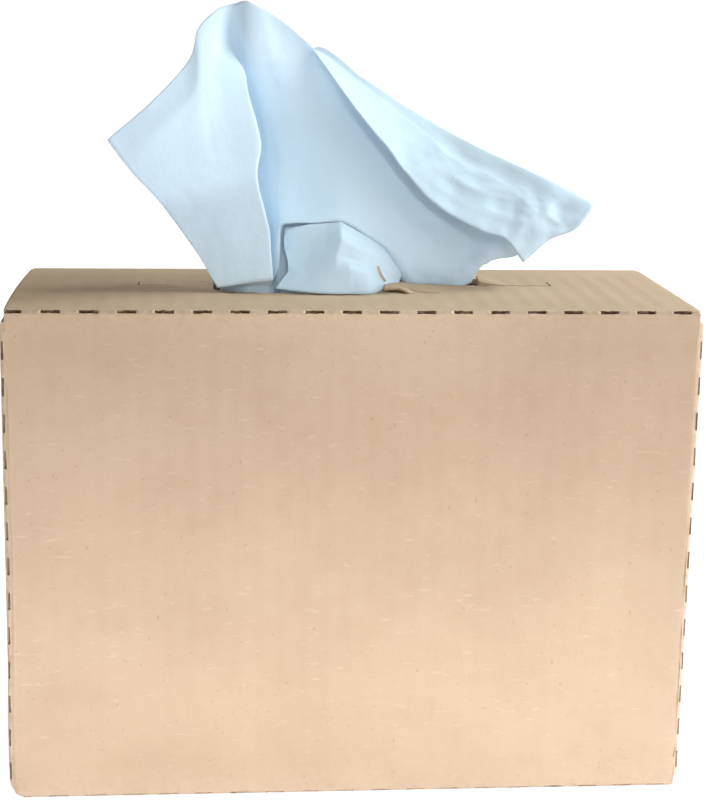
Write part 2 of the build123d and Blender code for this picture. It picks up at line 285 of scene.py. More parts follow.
def backdrop_mesh():
    """A floor that curves up into a wall."""
    flat_end = floor_far - floor_bend
    profile = [(floor_near, 0.0), (flat_end, 0.0)]
    for step in range(1, bend_steps + 1):
        angle = math.radians(90) * step / bend_steps
        rise = floor_bend * (1 - math.cos(angle))
        profile.append((flat_end + floor_bend * math.sin(angle), rise))
    profile.append((floor_far, backdrop_height))
    points = [(side * floor_half_width, y, z) for y, z in profile for side in (-1, 1)]
    faces = [(i, i + 1, i + 3, i + 2) for i in range(0, len(points) - 2, 2)]
    mesh = bpy.data.meshes.new("floor")
    mesh.from_pydata(points, [], faces)
    mesh.polygons.foreach_set("use_smooth", [True] * len(mesh.polygons))
    return mesh

def floor_material():
    """Pale floor: seen by the camera it is nearly white, but it keeps the carton's shadow."""
    material, tree, shader = start_material("pale_floor", (0.80, 0.80, 0.79), 0.95)
    seen = add(tree, "BsdfDiffuse")
    seen.inputs["Color"].default_value = (0.35, 0.35, 0.35, 1)
    glow = add(tree, "Emission")
    glow.inputs["Color"].default_value = (0.89, 0.89, 0.90, 1)
    both = add(tree, "AddShader")
    choice = add(tree, "MixShader")
    tree.links.new(seen.outputs["BSDF"], both.inputs[0])
    tree.links.new(glow.outputs["Emission"], both.inputs[1])
    tree.links.new(seen_rays(tree), choice.inputs["Fac"])
    tree.links.new(shader.outputs["BSDF"], choice.inputs[1])
    tree.links.new(both.outputs["Shader"], choice.inputs[2])
    tree.links.new(choice.outputs["Shader"], tree.nodes["Material Output"].inputs["Surface"])
    return material

floor = bpy.data.objects.new("floor", backdrop_mesh())
floor.data.materials.append(floor_material())
scene.collection.objects.link(floor)
print("floor reaches back to", floor_far, "m")

# %% [markdown]
# ## The board
# Corrugated board is two flat papers with a wavy one glued between them. The outer paper sinks
# a little between the waves, so light from the side shows faint stripes, one to each wave. It
# is matt, full of short fibres, and paler where a fold has stretched it; along the folds that
# paler colour is also a painted highlight.
# The colour comes from five kinds of noise: clouds, blotches, fibres that stand, fibres that
# lie, and specks. Stripes that catch light from the side have to be in the mesh, and they come
# with the carton below. The cut edges get a finish of their own: dark between the two papers,
# which is painted shade of the hollows beside the wave, with the wave drawn by a sine of the
# place along the edge.

# %% Finish of the board's paper
flute_pitch = 7.8 * mm
paper_grain = 0.08 * mm

def liner_material():
    """Brown kraft paper with clouds, blotches, fibres and pale folds."""
    material, tree, shader = start_material("kraft_liner", (0.545, 0.41, 0.283), 0.88)
    place = add(tree, "TexCoord").outputs["Object"]
    clouds = speckle(tree, place, 20, 0.30, 0.70, detail=4)
    colour = tint(tree, clouds, (0.490, 0.364, 0.252), (0.540, 0.408, 0.283))
    blotches = speckle(tree, place, 110, 0.45, 0.72, most=0.30, detail=4)
    colour = tint(tree, blotches, colour, (0.465, 0.338, 0.222))
    upright = speckle(tree, place, 900, 0.62, 0.80, most=0.22, stretch=(1, 1, 0.16))
    colour = tint(tree, upright, colour, (0.42, 0.30, 0.20))
    lying = speckle(tree, place, 700, 0.64, 0.78, most=0.35, stretch=(0.25, 1, 1))
    colour = tint(tree, lying, colour, (0.66, 0.53, 0.395))
    specks = speckle(tree, place, 620, 0.735, 0.78, most=0.35, detail=1)
    colour = tint(tree, specks, colour, (0.32, 0.215, 0.135))
    # Paler along the folds and the torn rim: stretched, worn and ripped paper, and on the folds
    # also a painted highlight.
    fold = add(tree, "Attribute", attribute_name="fold").outputs["Fac"]
    wear_and_highlight = arithmetic(tree, "MULTIPLY", fold, speckle(tree, place, 420, 0.25, 0.60))
    colour = tint(tree, wear_and_highlight, colour, (0.70, 0.565, 0.425))
    tree.links.new(colour, shader.inputs["Base Color"])
    grain = speckle(tree, place, 1600, 0.2, 0.8, detail=3)
    height = arithmetic(tree, "ADD", grain, upright)
    raise_grain(tree, shader, height, paper_grain, 0.35)
    return material

liner = liner_material()
print("made", liner.name)

# %% Finish of the board's cut edges
faces_up = 0.7
middle = 0.5
wave_swing = 0.36
wave_line = 0.11
paper_starts = 0.42
edge_grain = 0.15 * mm

def cut_edge_material(board_thickness, top_height, back_depth):
    """Two papers with the wavy one between them, on any cut across the waves."""
    material, tree, shader = start_material("cut_board_edge", (0.33, 0.22, 0.14), 0.92)
    place = add(tree, "TexCoord").outputs["Object"]
    axes = add(tree, "SeparateXYZ")
    tree.links.new(place, axes.inputs["Vector"])
    facing = add(tree, "SeparateXYZ")
    tree.links.new(add(tree, "NewGeometry").outputs["True Normal"], facing.inputs["Vector"])
    upward = arithmetic(tree, "GREATER_THAN", facing.outputs["Z"], faces_up)
    from_top = arithmetic(tree, "SUBTRACT", top_height, axes.outputs["Z"])
    from_back = arithmetic(tree, "SUBTRACT", back_depth, axes.outputs["Y"])
    spread = arithmetic(tree, "SUBTRACT", from_back, from_top)
    inward = arithmetic(tree, "ADD", from_top, arithmetic(tree, "MULTIPLY", upward, spread))
    share = arithmetic(tree, "DIVIDE", inward, board_thickness)
    turn = arithmetic(tree, "MULTIPLY", axes.outputs["X"], 2 * math.pi / flute_pitch)
    wave = arithmetic(tree, "MULTIPLY", arithmetic(tree, "SINE", turn, 0), wave_swing)
    off_middle = arithmetic(tree, "SUBTRACT", share, middle)
    off_wave = arithmetic(tree, "SUBTRACT", off_middle, wave)
    on_wave = arithmetic(tree, "LESS_THAN", arithmetic(tree, "ABSOLUTE", off_wave, 0), wave_line)
    outward = arithmetic(tree, "ABSOLUTE", off_middle, 0)
    on_paper = arithmetic(tree, "GREATER_THAN", outward, paper_starts)
    paper = arithmetic(tree, "MAXIMUM", on_wave, on_paper)
    # Painted shade: the dark colour fills the hollows between the papers beside the wave.
    colour = tint(tree, paper, (0.15, 0.095, 0.06), (0.42, 0.30, 0.20))
    fibres = speckle(tree, place, 900, 0.35, 0.75, most=0.5, detail=3)
    colour = tint(tree, fibres, colour, (0.60, 0.46, 0.33))
    tree.links.new(colour, shader.inputs["Base Color"])
    raise_grain(tree, shader, fibres, edge_grain, 0.5)
    return material

board = 4.0 * mm
carton_height = 177.0 * mm
carton_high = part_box("carton")[1]
half_width = carton_high.x
half_depth = carton_high.y
cut_edge = cut_edge_material(board, carton_height, half_depth)
print("carton in mm:", round(2 * half_width / mm), round(2 * half_depth / mm))

# %% [markdown]
# ## The carton's mesh
# The solid has the right walls, flaps, slits and tear, but its panels are perfectly flat, and
# a flat face has no vertices to move. So the mesh starts as a copy of the solid's. Its flat
# regions are first joined into whole faces, and then sliced like bread, finely across the
# waves and coarsely along them. That gives each wave six vertices and keeps the count low,
# where an even subdivision would need millions.

# %% Copy the solid's mesh and tell paper from cut edges
import bmesh

closure_reach = half_width - 1.7 * mm
fold_radius = 2.0 * mm
on_side = 0.05 * mm
bend_slack = 0.12 * mm
large_face = 700 * mm * mm
same_place = 0.002 * mm
flat_angle = math.radians(0.4)

def is_paper(face):
    """True for the board's two papers, false for its cut edges and slits."""
    centre = face.calc_center_median()
    past = abs(centre.x) > closure_reach
    top = carton_height - board if past else carton_height
    low = board if past else 0
    rear = half_depth if low < centre.z < top - fold_radius else half_depth - board
    gaps = sorted((
        half_width - abs(centre.x), centre.y + half_depth, abs(half_depth - centre.y),
        abs(rear - centre.y), top - centre.z, centre.z - low,
    ))
    if gaps[0] < on_side:
        return True
    bend = math.hypot(fold_radius - gaps[0], fold_radius - gaps[1])
    if gaps[1] < fold_radius and abs(bend - fold_radius) < bend_slack:
        return True
    return face.calc_area() > large_face

carton_bm = bmesh.new()
carton_bm.from_mesh(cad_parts["carton"].data)
bmesh.ops.remove_doubles(carton_bm, verts=carton_bm.verts, dist=same_place)
bmesh.ops.dissolve_limit(
    carton_bm, angle_limit=flat_angle, verts=carton_bm.verts, edges=carton_bm.edges
)
carton_bm.normal_update()
for face in carton_bm.faces:
    face.material_index = 0 if is_paper(face) else 1
print("faces before slicing:", len(carton_bm.faces))

# %% Slice it
slice_fine = 1.3 * mm
slice_coarse = 12.0 * mm
slice_top = 2.4 * mm
cut_slack = 1e-7
top_inside = carton_height - 1.1 * board
skin_inside = half_depth - 0.6 * fold_radius
level_face = 0.9

def places_between(low, high, step):
    """Evenly spaced places, none on the ends."""
    count = round((high - low) / step)
    return [low + (high - low) * i / count for i in range(1, count)]

def slice_faces(bm, faces, axis, places):
    """Cut these faces by planes square to one axis. The pieces stay one mesh."""
    normal = Vector((axis == 0, axis == 1, axis == 2))
    edges = {edge for face in faces for edge in face.edges}
    verts = {vert for face in faces for vert in face.verts}
    part = list(faces) + list(edges) + list(verts)
    for place in places:
        cut = bmesh.ops.bisect_plane(
            bm, geom=part, dist=cut_slack, plane_co=normal * place, plane_no=normal
        )
        part = cut["geom"]

def near_outside(face):
    """Faces of the front's and back's skin, and everything in the top panel's board."""
    centre = face.calc_center_median()
    return centre.z > top_inside or abs(centre.y) > skin_inside

def on_end(face):
    """Faces of an end wall's outer side."""
    return abs(face.calc_center_median().x) > half_width - on_side

across = places_between(-half_width, half_width, slice_fine)
along = places_between(-half_depth, half_depth, slice_fine)
upward = places_between(0, carton_height, slice_coarse)
through = places_between(-half_depth, half_depth, slice_top)
slice_faces(carton_bm, [f for f in carton_bm.faces if near_outside(f)], 0, across)
slice_faces(carton_bm, [f for f in carton_bm.faces if on_end(f)], 1, along)
upright = [f for f in carton_bm.faces if near_outside(f) or on_end(f)]
slice_faces(carton_bm, upright, 2, upward)
top_faces = [
    f for f in carton_bm.faces
    if f.calc_center_median().z > top_inside and abs(f.normal.z) > level_face
]
slice_faces(carton_bm, top_faces, 1, through)
bmesh.ops.triangulate(carton_bm, faces=[f for f in carton_bm.faces if len(f.verts) > 4])
print("faces after slicing:", len(carton_bm.faces))

# %% [markdown]
# ## Waves, bulges and the torn rim
# Each vertex is moved by a sum of small causes: the wave under the paper, a slow unevenness
# of the panel, a bulge where the pack pushes from inside, and the sag of the rim where the
# mouth was torn. Every cause fades out towards the folds, which hold the panels straight.
# All of them together stay under two millimetres, and their numbers are in millimetres.

# %% Follow the torn rim
mouth_half = 49.0
slot_front = 5.25
tear_reach = 13.5
tear_line = [
    (-1.00, 0.25), (-0.80, 0.60), (-0.44, 0.80), (-0.20, 0.92), (0.04, 1.00),
    (0.25, 0.85), (0.34, 0.40), (0.55, 0.10), (0.85, 0.0), (1.00, 0.0),
]

def ease(value, low, high):
    """0 below low, 1 above high, and a smooth rise between them."""
    share = min(max((value - low) / (high - low), 0.0), 1.0)
    return share * share * (3 - 2 * share)

def tear_y(x):
    """How far forward the mouth is torn at this x, in mm."""
    share = min(max(x / mouth_half, -1.0), 1.0)
    for (x0, reach0), (x1, reach1) in zip(tear_line, tear_line[1:]):
        if x0 <= share <= x1:
            reach = reach0 + (reach1 - reach0) * (share - x0) / (x1 - x0)
            return slot_front - tear_reach * reach
    return slot_front

# %% Let the rim sag and its corner lift
sag_depth = 1.3
sag_reach = 11.0
sag_left = (-66, -44)
sag_right = (4, 16)
sag_front = (-47, -30)
sag_back = (5.5, 11)
lip_height = 1.5
lip_x, lip_y = 47.0, 13
lip_start = (9, 12)
lip_width, lip_depth = 6, 7

def sag(x, y):
    """How deep the top panel hangs in front of the mouth, in mm."""
    wide = ease(x, *sag_left) * (1 - ease(x, *sag_right))
    gap = max(tear_y(x) - y, 0.0)
    held = ease(y, *sag_front) * (1 - ease(y, *sag_back))
    return sag_depth * wide * held * math.exp(-(gap / sag_reach) ** 2)

def lifted_lip(x, y):
    """How far the mouth's back lip stands up at its right end, in mm."""
    sideways = (x - lip_x) / lip_width
    backwards = max(y - lip_y, 0) / lip_depth
    return lip_height * ease(y, *lip_start) * math.exp(-sideways ** 2 - backwards ** 2)

# %% Move the vertices
from mathutils import noise

# Without a seed, noise_vector follows the clock, and no two runs give the same wrinkles.
noise_seed = 1
noise.seed_set(noise_seed)
octave_step = 2.0
wave_height = 0.07
bulge_height = 0.6
uneven_height = 0.22
uneven_scale = 0.016
top_evenness = 0.6
stiff, wall_free, panel_free = 2.5, 9, 8
near_side = 0.05
hem = 0.6
board_band = 4
top_band, closure_band = 4.2, 1.6
rear_band, end_band = 12, 2
tear_roughness = 0.55
tear_left, tear_right = -47, 14
rim_reach = 0.4
rim_stretch, rim_seed = (0.45, 0.3), 7.0

def rough(place, dimension, octaves):
    """Fractal noise at a place. A lower dimension is rougher."""
    return noise.fractal(place, dimension, octave_step, octaves)

def flute(place):
    """The wave's height under the paper, from -1 to 1."""
    return math.cos(2 * math.pi * place / (flute_pitch / mm))

def moved(point):
    """Where a vertex of the carton goes, all in mm."""
    x, y, z = point / mm
    width, depth, height = half_width / mm, half_depth / mm, carton_height / mm
    slow = rough(Vector((x, y, z)) * uneven_scale, 1.0, 3)
    if abs(y) > depth - near_side and hem < z < height - hem:
        side = 1 if y > 0 else -1
        fade = ease(min(z, height - z, width - abs(x)), stiff, wall_free)
        belly = (1 - (x / width) ** 2) * (1 - (2 * z / height - 1) ** 2)
        y += side * fade * (wave_height * flute(x) + uneven_height * slow)
        y += side * bulge_height * belly
    elif abs(x) > width - near_side:
        side = 1 if x > 0 else -1
        inner = min(z - board_band, height - board_band - z, depth - abs(y))
        fade = ease(inner, stiff, panel_free)
        x += side * fade * (wave_height * flute(y) + uneven_height * slow)
    elif z > height - top_band and abs(x) < width - closure_band:
        if abs(z - height) < near_side:
            inner = min(y + depth, depth - rear_band - y, width - end_band - abs(x))
            fade = ease(inner, stiff, panel_free)
            z += fade * (wave_height * flute(x) + top_evenness * uneven_height * slow)
        z += lifted_lip(x, y) - sag(x, y)
        if tear_left < x < tear_right and abs(y - tear_y(x)) < rim_reach:
            spot = Vector((x * rim_stretch[0], z * rim_stretch[1], rim_seed))
            y += tear_roughness * rough(spot, 0.8, 4)
    return x, y, z

print("waves across the front:", round(2 * half_width / flute_pitch))

# %% [markdown]
# A carton that has been carried about isn't square any more: its left end leans out at the
# foot and swells at the top, and its left corner at the foot is rounded off at the front, by
# up to three and a half millimetres. Its slits, made by a blunt blade, have ragged lips.

# %% Add wear from handling
foot_lean = 1.3
lean_side = (60, 120)
lean_foot = (15, 90)
top_swell = 1.1
swell_side = (98, 120)
swell_start = 145
corner_width = 6.5
corner_height = 10.0
corner_front = (-40, -10)

def handled(x, y, z):
    """A place after the carton was leant on and knocked, in mm."""
    width, depth, height = half_width / mm, half_depth / mm, carton_height / mm
    over = (corner_width - width - x) / corner_width
    under = (corner_height - z) / corner_height
    if over > 0 and under > 0 and math.hypot(over, under) > 1:
        keep = 1 - (1 - 1 / math.hypot(over, under)) * (1 - ease(y, *corner_front))
        x = corner_width - width - corner_width * over * keep
        z = corner_height * (1 - under * keep)
    x -= foot_lean * ease(-x, *lean_side) * (1 - ease(z, *lean_foot))
    swell = ease(-x, *swell_side) * ease(z, swell_start, height)
    x -= top_swell * swell * (1 - (y / depth) ** 2)
    return Vector((x, y, z))

# %% Roughen the slits and the torn rim
ragged_lip = 0.32
ragged_scale = 0.9
lip_seed = 3.7
fold_width = 1.6
near_fold = 0.2
tear_width = 0.9
tear_depth = 4.5

def fold_gaps(point):
    """Distances to the carton's nearest sides along x, y and z, in mm."""
    x, y, z = point / mm
    height = carton_height / mm
    return (
        half_width / mm - abs(x), abs(half_depth / mm - abs(y)),
        min(abs(height - z), abs(z)),
    )

def fold_share(point):
    """How close a place lies to the nearest fold, 1 on it."""
    near = sorted(fold_gaps(point))
    return math.exp(-((near[0] + near[1]) / fold_width) ** 2)

def ragged(point, seed):
    """A shift of a slit's lip, across its fold."""
    gaps = fold_gaps(point)
    along = max(range(3), key=lambda axis: gaps[axis])
    outward = Vector((point.x, point.y, point.z - carton_height / 2))
    for axis in range(3):
        outward[axis] = math.copysign(1, outward[axis]) if axis != along else 0
    fold_line = Vector([axis == along for axis in range(3)])
    across_fold = fold_line.cross(outward).normalized()
    place = point / mm * ragged_scale + Vector((seed, 0, 0))
    return across_fold * ragged_lip * mm * rough(place, 0.6, 3)

def tear_share(point):
    """How close a place lies to the torn rim, where the paper's top layer is ripped."""
    x, y, z = point / mm
    if abs(x) > mouth_half or z < carton_height / mm - tear_depth:
        return 0.0
    return math.exp(-((y - tear_y(x)) / tear_width) ** 2)

shares = [max(fold_share(v.co), tear_share(v.co)) for v in carton_bm.verts]
lips = {
    vert for vert, share in zip(carton_bm.verts, shares)
    if share > near_fold and len({face.material_index for face in vert.link_faces}) == 2
}
for vert in carton_bm.verts:
    jag = ragged(vert.co, lip_seed) if vert in lips else Vector()
    vert.co = handled(*moved(vert.co)) * mm + jag
print("lip vertices:", len(lips))

# %% Make the carton's piece
def finish_piece(name, mesh, materials, replaced, sharp=None):
    """An object that rides with the carton and stands for some of its solids."""
    piece = bpy.data.objects.new(name, mesh)
    scene.collection.objects.link(piece)
    for material in materials:
        mesh.materials.append(material)
    mesh.polygons.foreach_set("use_smooth", [True] * len(mesh.polygons))
    if sharp is not None:
        mesh.set_sharp_from_angle(angle=math.radians(sharp))
    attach(piece, "root")
    if replaced:
        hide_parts(*replaced)
    return piece

carton_mesh = bpy.data.meshes.new("carton_board")
carton_bm.to_mesh(carton_mesh)
carton_bm.free()
# The fold attribute makes the liner paler: wear at the torn rim and folds, and a painted
# highlight on the folds.
fold_layer = carton_mesh.attributes.new("fold", "FLOAT", "POINT")
fold_layer.data.foreach_set("value", shares)
finish_piece(
    "carton_board", carton_mesh, [liner, cut_edge], ["carton"], sharp=28
)
print("carton faces:", len(carton_mesh.polygons))

# %% [markdown]
# ## The wipes' cloth
# The wipes are a nonwoven: fibres laid flat and pressed together, pale blue, matt and a little
# see-through. It has no weave, but soft dimples about a millimetre apart, and faint clouds
# where the fibres lie thicker. Some of the light that falls on the back comes through, so the
# shader is mixed with a translucent one.

# %% Finish of the cloth
see_through = 0.20
through_cloth = (0.83, 0.85, 0.88)
patch_shade = 0.93
cloth_grain = 0.10 * mm

def cloth_material(name, base, shade):
    """Pale nonwoven with clouds and dimples. A share of the light comes through it."""
    material, tree, shader = start_material(name, base, 0.92)
    shader.inputs["Sheen Weight"].default_value = 0.12
    shader.inputs["Sheen Roughness"].default_value = 0.6
    place = add(tree, "TexCoord").outputs["Object"]
    clouds = speckle(tree, place, 45, 0.30, 0.70, detail=4)
    colour = tint(tree, clouds, shade, base)
    patches = speckle(tree, place, 260, 0.50, 0.75, most=0.25, detail=3)
    colour = tint(tree, patches, colour, tuple(c * patch_shade for c in base))
    tree.links.new(colour, shader.inputs["Base Color"])
    dimples = speckle(tree, place, 520, 0.35, 0.65, detail=2)
    fibres = speckle(tree, place, 2600, 0.3, 0.7, detail=2)
    height = arithmetic(tree, "ADD", dimples, arithmetic(tree, "MULTIPLY", fibres, 0.35))
    raise_grain(tree, shader, height, cloth_grain, 0.30)
    glow = add(tree, "BsdfTranslucent")
    glow.inputs["Color"].default_value = (*through_cloth, 1)
    blend = add(tree, "MixShader", Fac=see_through)
    tree.links.new(shader.outputs["BSDF"], blend.inputs[1])
    tree.links.new(glow.outputs["BSDF"], blend.inputs[2])
    tree.links.new(blend.outputs["Shader"], tree.nodes["Material Output"].inputs["Surface"])
    return material

wipe_cloth = cloth_material("wipe_cloth", (0.675, 0.85, 0.97), (0.65, 0.825, 0.95))
print("made", wipe_cloth.name)

# %% [markdown]
# ## Laying out a limp sheet
# A drawn wipe is one sheet, so its mesh is one grid. A cloth simulation would fall over, since
# only its creases hold this wipe up, so it is laid out instead: columns of points run
# from its top edge down to the mouth, each one a pixel of the photo with a depth. A smooth
# curve goes through them both ways. Some lines are creases, so a second net with corners
# there is mixed in.

# %% Curves through a net of points
import numpy as np

shortest = 1e-12

def curve_weights(count, span, share, corners):
    """Weights of the control points for one point of a smooth line through them."""
    square, cube = share ** 2, share ** 3
    before = 0.5 * (2 * square - share - cube)
    after = 0.5 * (cube - square)
    row = np.zeros(count)
    row[span] += 0.5 * (3 * cube - 5 * square + 2)
    row[span + 1] += 0.5 * (4 * square + share - 3 * cube)
    if span == 0 or span in corners:
        row[span] += 2 * before
        row[span + 1] -= before
    else:
        row[span - 1] += before
    if span + 2 == count or span + 1 in corners:
        row[span + 1] += 2 * after
        row[span] -= after
    else:
        row[span + 2] += after
    return row

def curve_matrix(steps, corners=()):
    """Takes control points to a fine line. steps gives the fine spans in each span."""
    count = len(steps) + 1
    rows = [
        curve_weights(count, span, step / steps[span], corners)
        for span in range(count - 1) for step in range(steps[span])
    ]
    rows.append(np.eye(count)[-1])
    return np.array(rows)

def fine_net(net, across_steps, down_steps, corner_columns=(), corner_rows=()):
    """A net of places made finer both ways."""
    by_column = curve_matrix(across_steps, corner_columns)
    by_row = curve_matrix(down_steps, corner_rows)
    return np.einsum("ac,br,crk->abk", by_column, by_row, net)

def net_normals(net):
    """Directions square to the net at each of its points."""
    normals = np.cross(np.gradient(net, axis=0), np.gradient(net, axis=1))
    return normals / np.maximum(np.linalg.norm(normals, axis=2, keepdims=True), shortest)

def net_mesh(name, net):
    """A grid of four-sided faces."""
    columns, rows = net.shape[:2]
    faces = [
        (i * rows + j, i * rows + j + 1, (i + 1) * rows + j + 1, (i + 1) * rows + j)
        for i in range(columns - 1) for j in range(rows - 1)
    ]
    mesh = bpy.data.meshes.new(name)
    mesh.from_pydata([tuple(p) for p in net.reshape(-1, 3)], [], faces)
    return mesh

# %% Folds below the mouth
stack_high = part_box("wipe_stack")[1].z / mm
under_panel = (carton_height - board) / mm
above_pack = 0.7
below_top = 1.5
below_panel = 1.2
part_way = 0.4
layer_slack = 0.3

def folded_tail(x, y, far_y, near_y, spread, layers, pitch):
    """Places of one column below the mouth: down and back, then to and fro in layers."""
    lowest = stack_high + above_pack
    top_layer = lowest + pitch * layers
    on_the_way = part_way * under_panel + (1 - part_way) * top_layer
    points = [
        (x, y, carton_height / mm - below_top),
        (x, y, under_panel - below_panel),
        (x * (1 + part_way * spread), y + part_way * (far_y - y), on_the_way),
        (x * (1 + spread), far_y, top_layer),
    ]
    for layer in range(layers):
        end_y = near_y if layer % 2 == 0 else far_y
        height = top_layer - pitch * (layer + 1)
        slack = layer_slack * pitch
        points.append((x * (1 + spread), 0.5 * (near_y + far_y), height + slack))
        points.append((x * (1 + spread), end_y, height))
    return [Vector(p) * mm for p in points]

def sheet_area(net):
    """Area of a fine net in square metres."""
    a = net[1:, :-1] - net[:-1, :-1]
    b = net[:-1, 1:] - net[:-1, :-1]
    return float(np.linalg.norm(np.cross(a, b), axis=2).sum())

# %% Soft wrinkles
seed_step = 40
bend_size, bend_reach = 30, 7
soft_size, soft_height = 38, 0.35
crease_size, crease_height = 19, 0.80
small_size, small_height = 8.5, 0.52
dent_size, dent_height = 5, 0.10
fade_start = 0.84
still_share, still_reach = 0.85, 9
no_row = -99

def wrinkle(place, seed):
    """Height of soft dents and sharp little creases at a place, all in mm."""
    spot = Vector(place) / mm + Vector((seed_step * seed, 0, 0))
    bent = spot + noise.noise_vector(spot / bend_size) * bend_reach
    large = soft_height * rough(spot / soft_size, 1.0, 2)
    large -= crease_height * abs(noise.noise(bent / crease_size))
    small_creases = abs(noise.noise(bent / small_size))
    dents = rough(spot / dent_size, 0.8, 2)
    return large - small_height * small_creases + dent_height * dents

def crumple(net, seed, amounts, visible_rows, still_row=no_row):
    """Move a fine net by its wrinkles: an amount for each column, less by the still row."""
    columns, rows = net.shape[:2]
    heights = np.zeros((columns, rows, 1))
    for i in range(columns):
        for j in range(visible_rows):
            fade = 1 - ease(j, fade_start * visible_rows, visible_rows)
            fade *= 1 - still_share * math.exp(-((j - still_row) / still_reach) ** 2)
            heights[i, j, 0] = amounts[i] * fade * wrinkle(net[i, j], seed) * mm
    return net + net_normals(net) * heights

# %% [markdown]
# ## The wipe that stands up
# From the left: a lobe that leans forward, a sharp crease, a hollow middle that overhangs the
# next wipe, and a strip at the right that is folded forward over it. The strip's columns go
# up its front, over the fold and down behind. Below the mouth the sheet runs back and lies in
# folds on the pack, so that its whole length is there.

# %% Columns of the standing wipe
popped_columns = [
    ([(107, 140, -21), (121, 159, -20), (128, 167.5, -19.5), (135, 176, -19),
      (158, 200, -17), (180, 229, -15), (199, 256, -13), (217, 287, -11)], (-46.5, 2.3)),
    ([(152, 101, -15), (157, 128, -17), (162, 141, -16.7), (167, 155, -16.3),
      (180, 187, -15), (195, 220, -13.5), (212, 255, -12), (229, 285.5, -10)], (-43.1, 0.4)),
    ([(189, 60, -5), (192, 90, -10), (194, 107, -11.5), (196, 125, -12.5),
      (203, 163, -13), (214, 203, -12), (229, 245, -11), (243, 283, -9)], (-37.7, -1.7)),
    ([(198, 29, 1), (202, 60, -4), (205, 82, -7), (208, 105, -9),
      (216, 150, -11), (227, 192, -11), (240, 240, -10), (251, 281.5, -8.5)], (-35.0, -2.0)),
    ([(216, 10, 8), (216, 50, 3), (219, 70, -1), (223, 95, -5),
      (233, 140, -9), (240, 183, -10), (253, 234, -9), (260, 280.5, -8)], (-32.8, -2.3)),
    ([(228, 5, 12), (226, 45, 10.5), (243, 70, 5), (248, 93, -1),
      (260, 143, -8), (256.5, 177, -9), (269, 230, -8), (272.5, 279, -7)], (-28.4, -2.2)),
    ([(237, 3, 13), (235, 45, 12.5), (240, 70, 13), (242, 93, 18),
      (247, 148, 22), (250, 182, 19), (264, 232, 11), (268, 280, 5)], (-29.0, 1.0)),
    ([(247, 1, 11), (248, 45, 9), (254, 70, 11), (260, 95, 15),
      (270, 148, 19), (273, 190, 13.5), (277, 228, 6), (278, 270, 2.5)], (-27.5, 3.0)),
    ([(260, 8, 11), (266, 48, 10), (271, 72, 12.5), (276, 97, 15.5),
      (283, 150, 17), (285, 197, 11), (284, 223, 4.5), (285, 225, 11)], (-24.0, 6.9)),
    ([(278, 18, 13), (288, 55, 13.5), (293, 77, 15), (298, 100, 16.5),
      (306, 150, 16.5), (313, 196, 11), (317, 222.5, 4.5), (317, 224, 12)], (-12.7, 9.4)),
    ([(312, 48, 14), (314.5, 49.2, 16), (316.5, 50.2, 16.7), (318.5, 51, 17.2),
      (330, 100, 18), (343, 160, 15), (343, 222.5, 4.5), (344, 225, 12)], (0.0, 10.2)),
    ([(343, 91, 9), (354, 83, 15), (360, 82, 16.7), (366, 82, 18),
      (368, 122, 19), (380, 178, 14.5), (373, 239, 5), (378, 243, 12)], (12.7, 10.4)),
    ([(389, 150, 5), (405, 130, 12), (413, 123, 15), (421, 117, 18),
      (410, 150, 18), (412, 202, 13), (404, 257, 4), (404, 281, 6.5)], (22.3, 10.0)),
    ([(432, 201, 1), (452, 168, 8), (463, 157, 11.5), (474, 146, 15),
      (455, 187, 16), (443, 224, 11), (430, 256, 8), (424, 283, 7)], (30.9, 9.4)),
    ([(478, 228, -4), (506, 200, 4), (519, 187, 8), (533, 173.5, 12),
      (502, 207, 14), (475, 237, 12), (457, 262, 9), (446, 284, 7)], (37.7, 8.8)),
    ([(506, 238, -5), (534, 213, 1), (551, 203, 5), (566, 190, 10),
      (538, 220, 11), (500, 245, 10), (473, 268, 8), (459, 285, 6.5)], (41.6, 8.7)),
    ([(524, 262, -6), (550, 240, 0), (577, 228, 3), (593, 204, 8),
      (560, 228, 9), (517, 255, 10), (489, 260, 9), (471, 280, 7)], (45.1, 9.0)),
]
popped_far = 37.0
popped_near = 14.0
popped_layers = 11
layer_pitch = 0.55
popped_seed = 4.0
rim_above = 1.0

def control_net(columns, rim_lift, tail):
    """Places of every column, from its top edge to its last fold."""
    net = []
    for picks, (x, y) in columns:
        above = [photo_place(*pick) for pick in picks]
        rim = Vector((x, y, carton_height / mm + rim_lift)) * mm
        net.append(above + [rim] + folded_tail(x, y, *tail, layer_pitch))
    return np.array(net)

popped_tail = (popped_far, popped_near, 1.0, popped_layers)
popped_net = control_net(popped_columns, rim_above, popped_tail)
visible_spans = 8
hidden_spans = popped_net.shape[1] - 1 - visible_spans
fine_across = 11
fine_down = 14
fine_hidden = 2
popped_across = [fine_across] * (len(popped_columns) - 1)
popped_down = [fine_down] * visible_spans + [fine_hidden] * hidden_spans
print("control points:", popped_net.shape[0] * popped_net.shape[1])

# %% Mix smooth and creased nets
sharp_columns, sharp_rows = (5,), (6, 7)
ridge_rows = (1.0, 2.2)
foot_columns = (11.2, 12.2)
lively_columns = (11, 13.5)
calm, lively = 0.5, 2.3

smooth_net = fine_net(popped_net, popped_across, popped_down)
creased_net = fine_net(popped_net, popped_across, popped_down, sharp_columns, sharp_rows)
crease_share = np.zeros((*smooth_net.shape[:2], 1))
for i, j in np.ndindex(smooth_net.shape[:2]):
    left_of_foot = 1 - ease(i / fine_across, *foot_columns)
    crease_share[i, j, 0] = ease(j / fine_down, *ridge_rows) * left_of_foot
popped_fine = smooth_net * (1 - crease_share) + creased_net * crease_share
amounts = [
    calm + (lively - calm) * ease(i / fine_across, *lively_columns)
    for i in range(len(popped_fine))
]
fold_row = 3 * fine_down
popped_fine = crumple(
    popped_fine, popped_seed, amounts, visible_spans * fine_down, still_row=fold_row
)
print("standing wipe, square metres:", round(sheet_area(popped_fine), 4))

# %% Make the standing wipe
cloth_thickness = 0.35 * mm

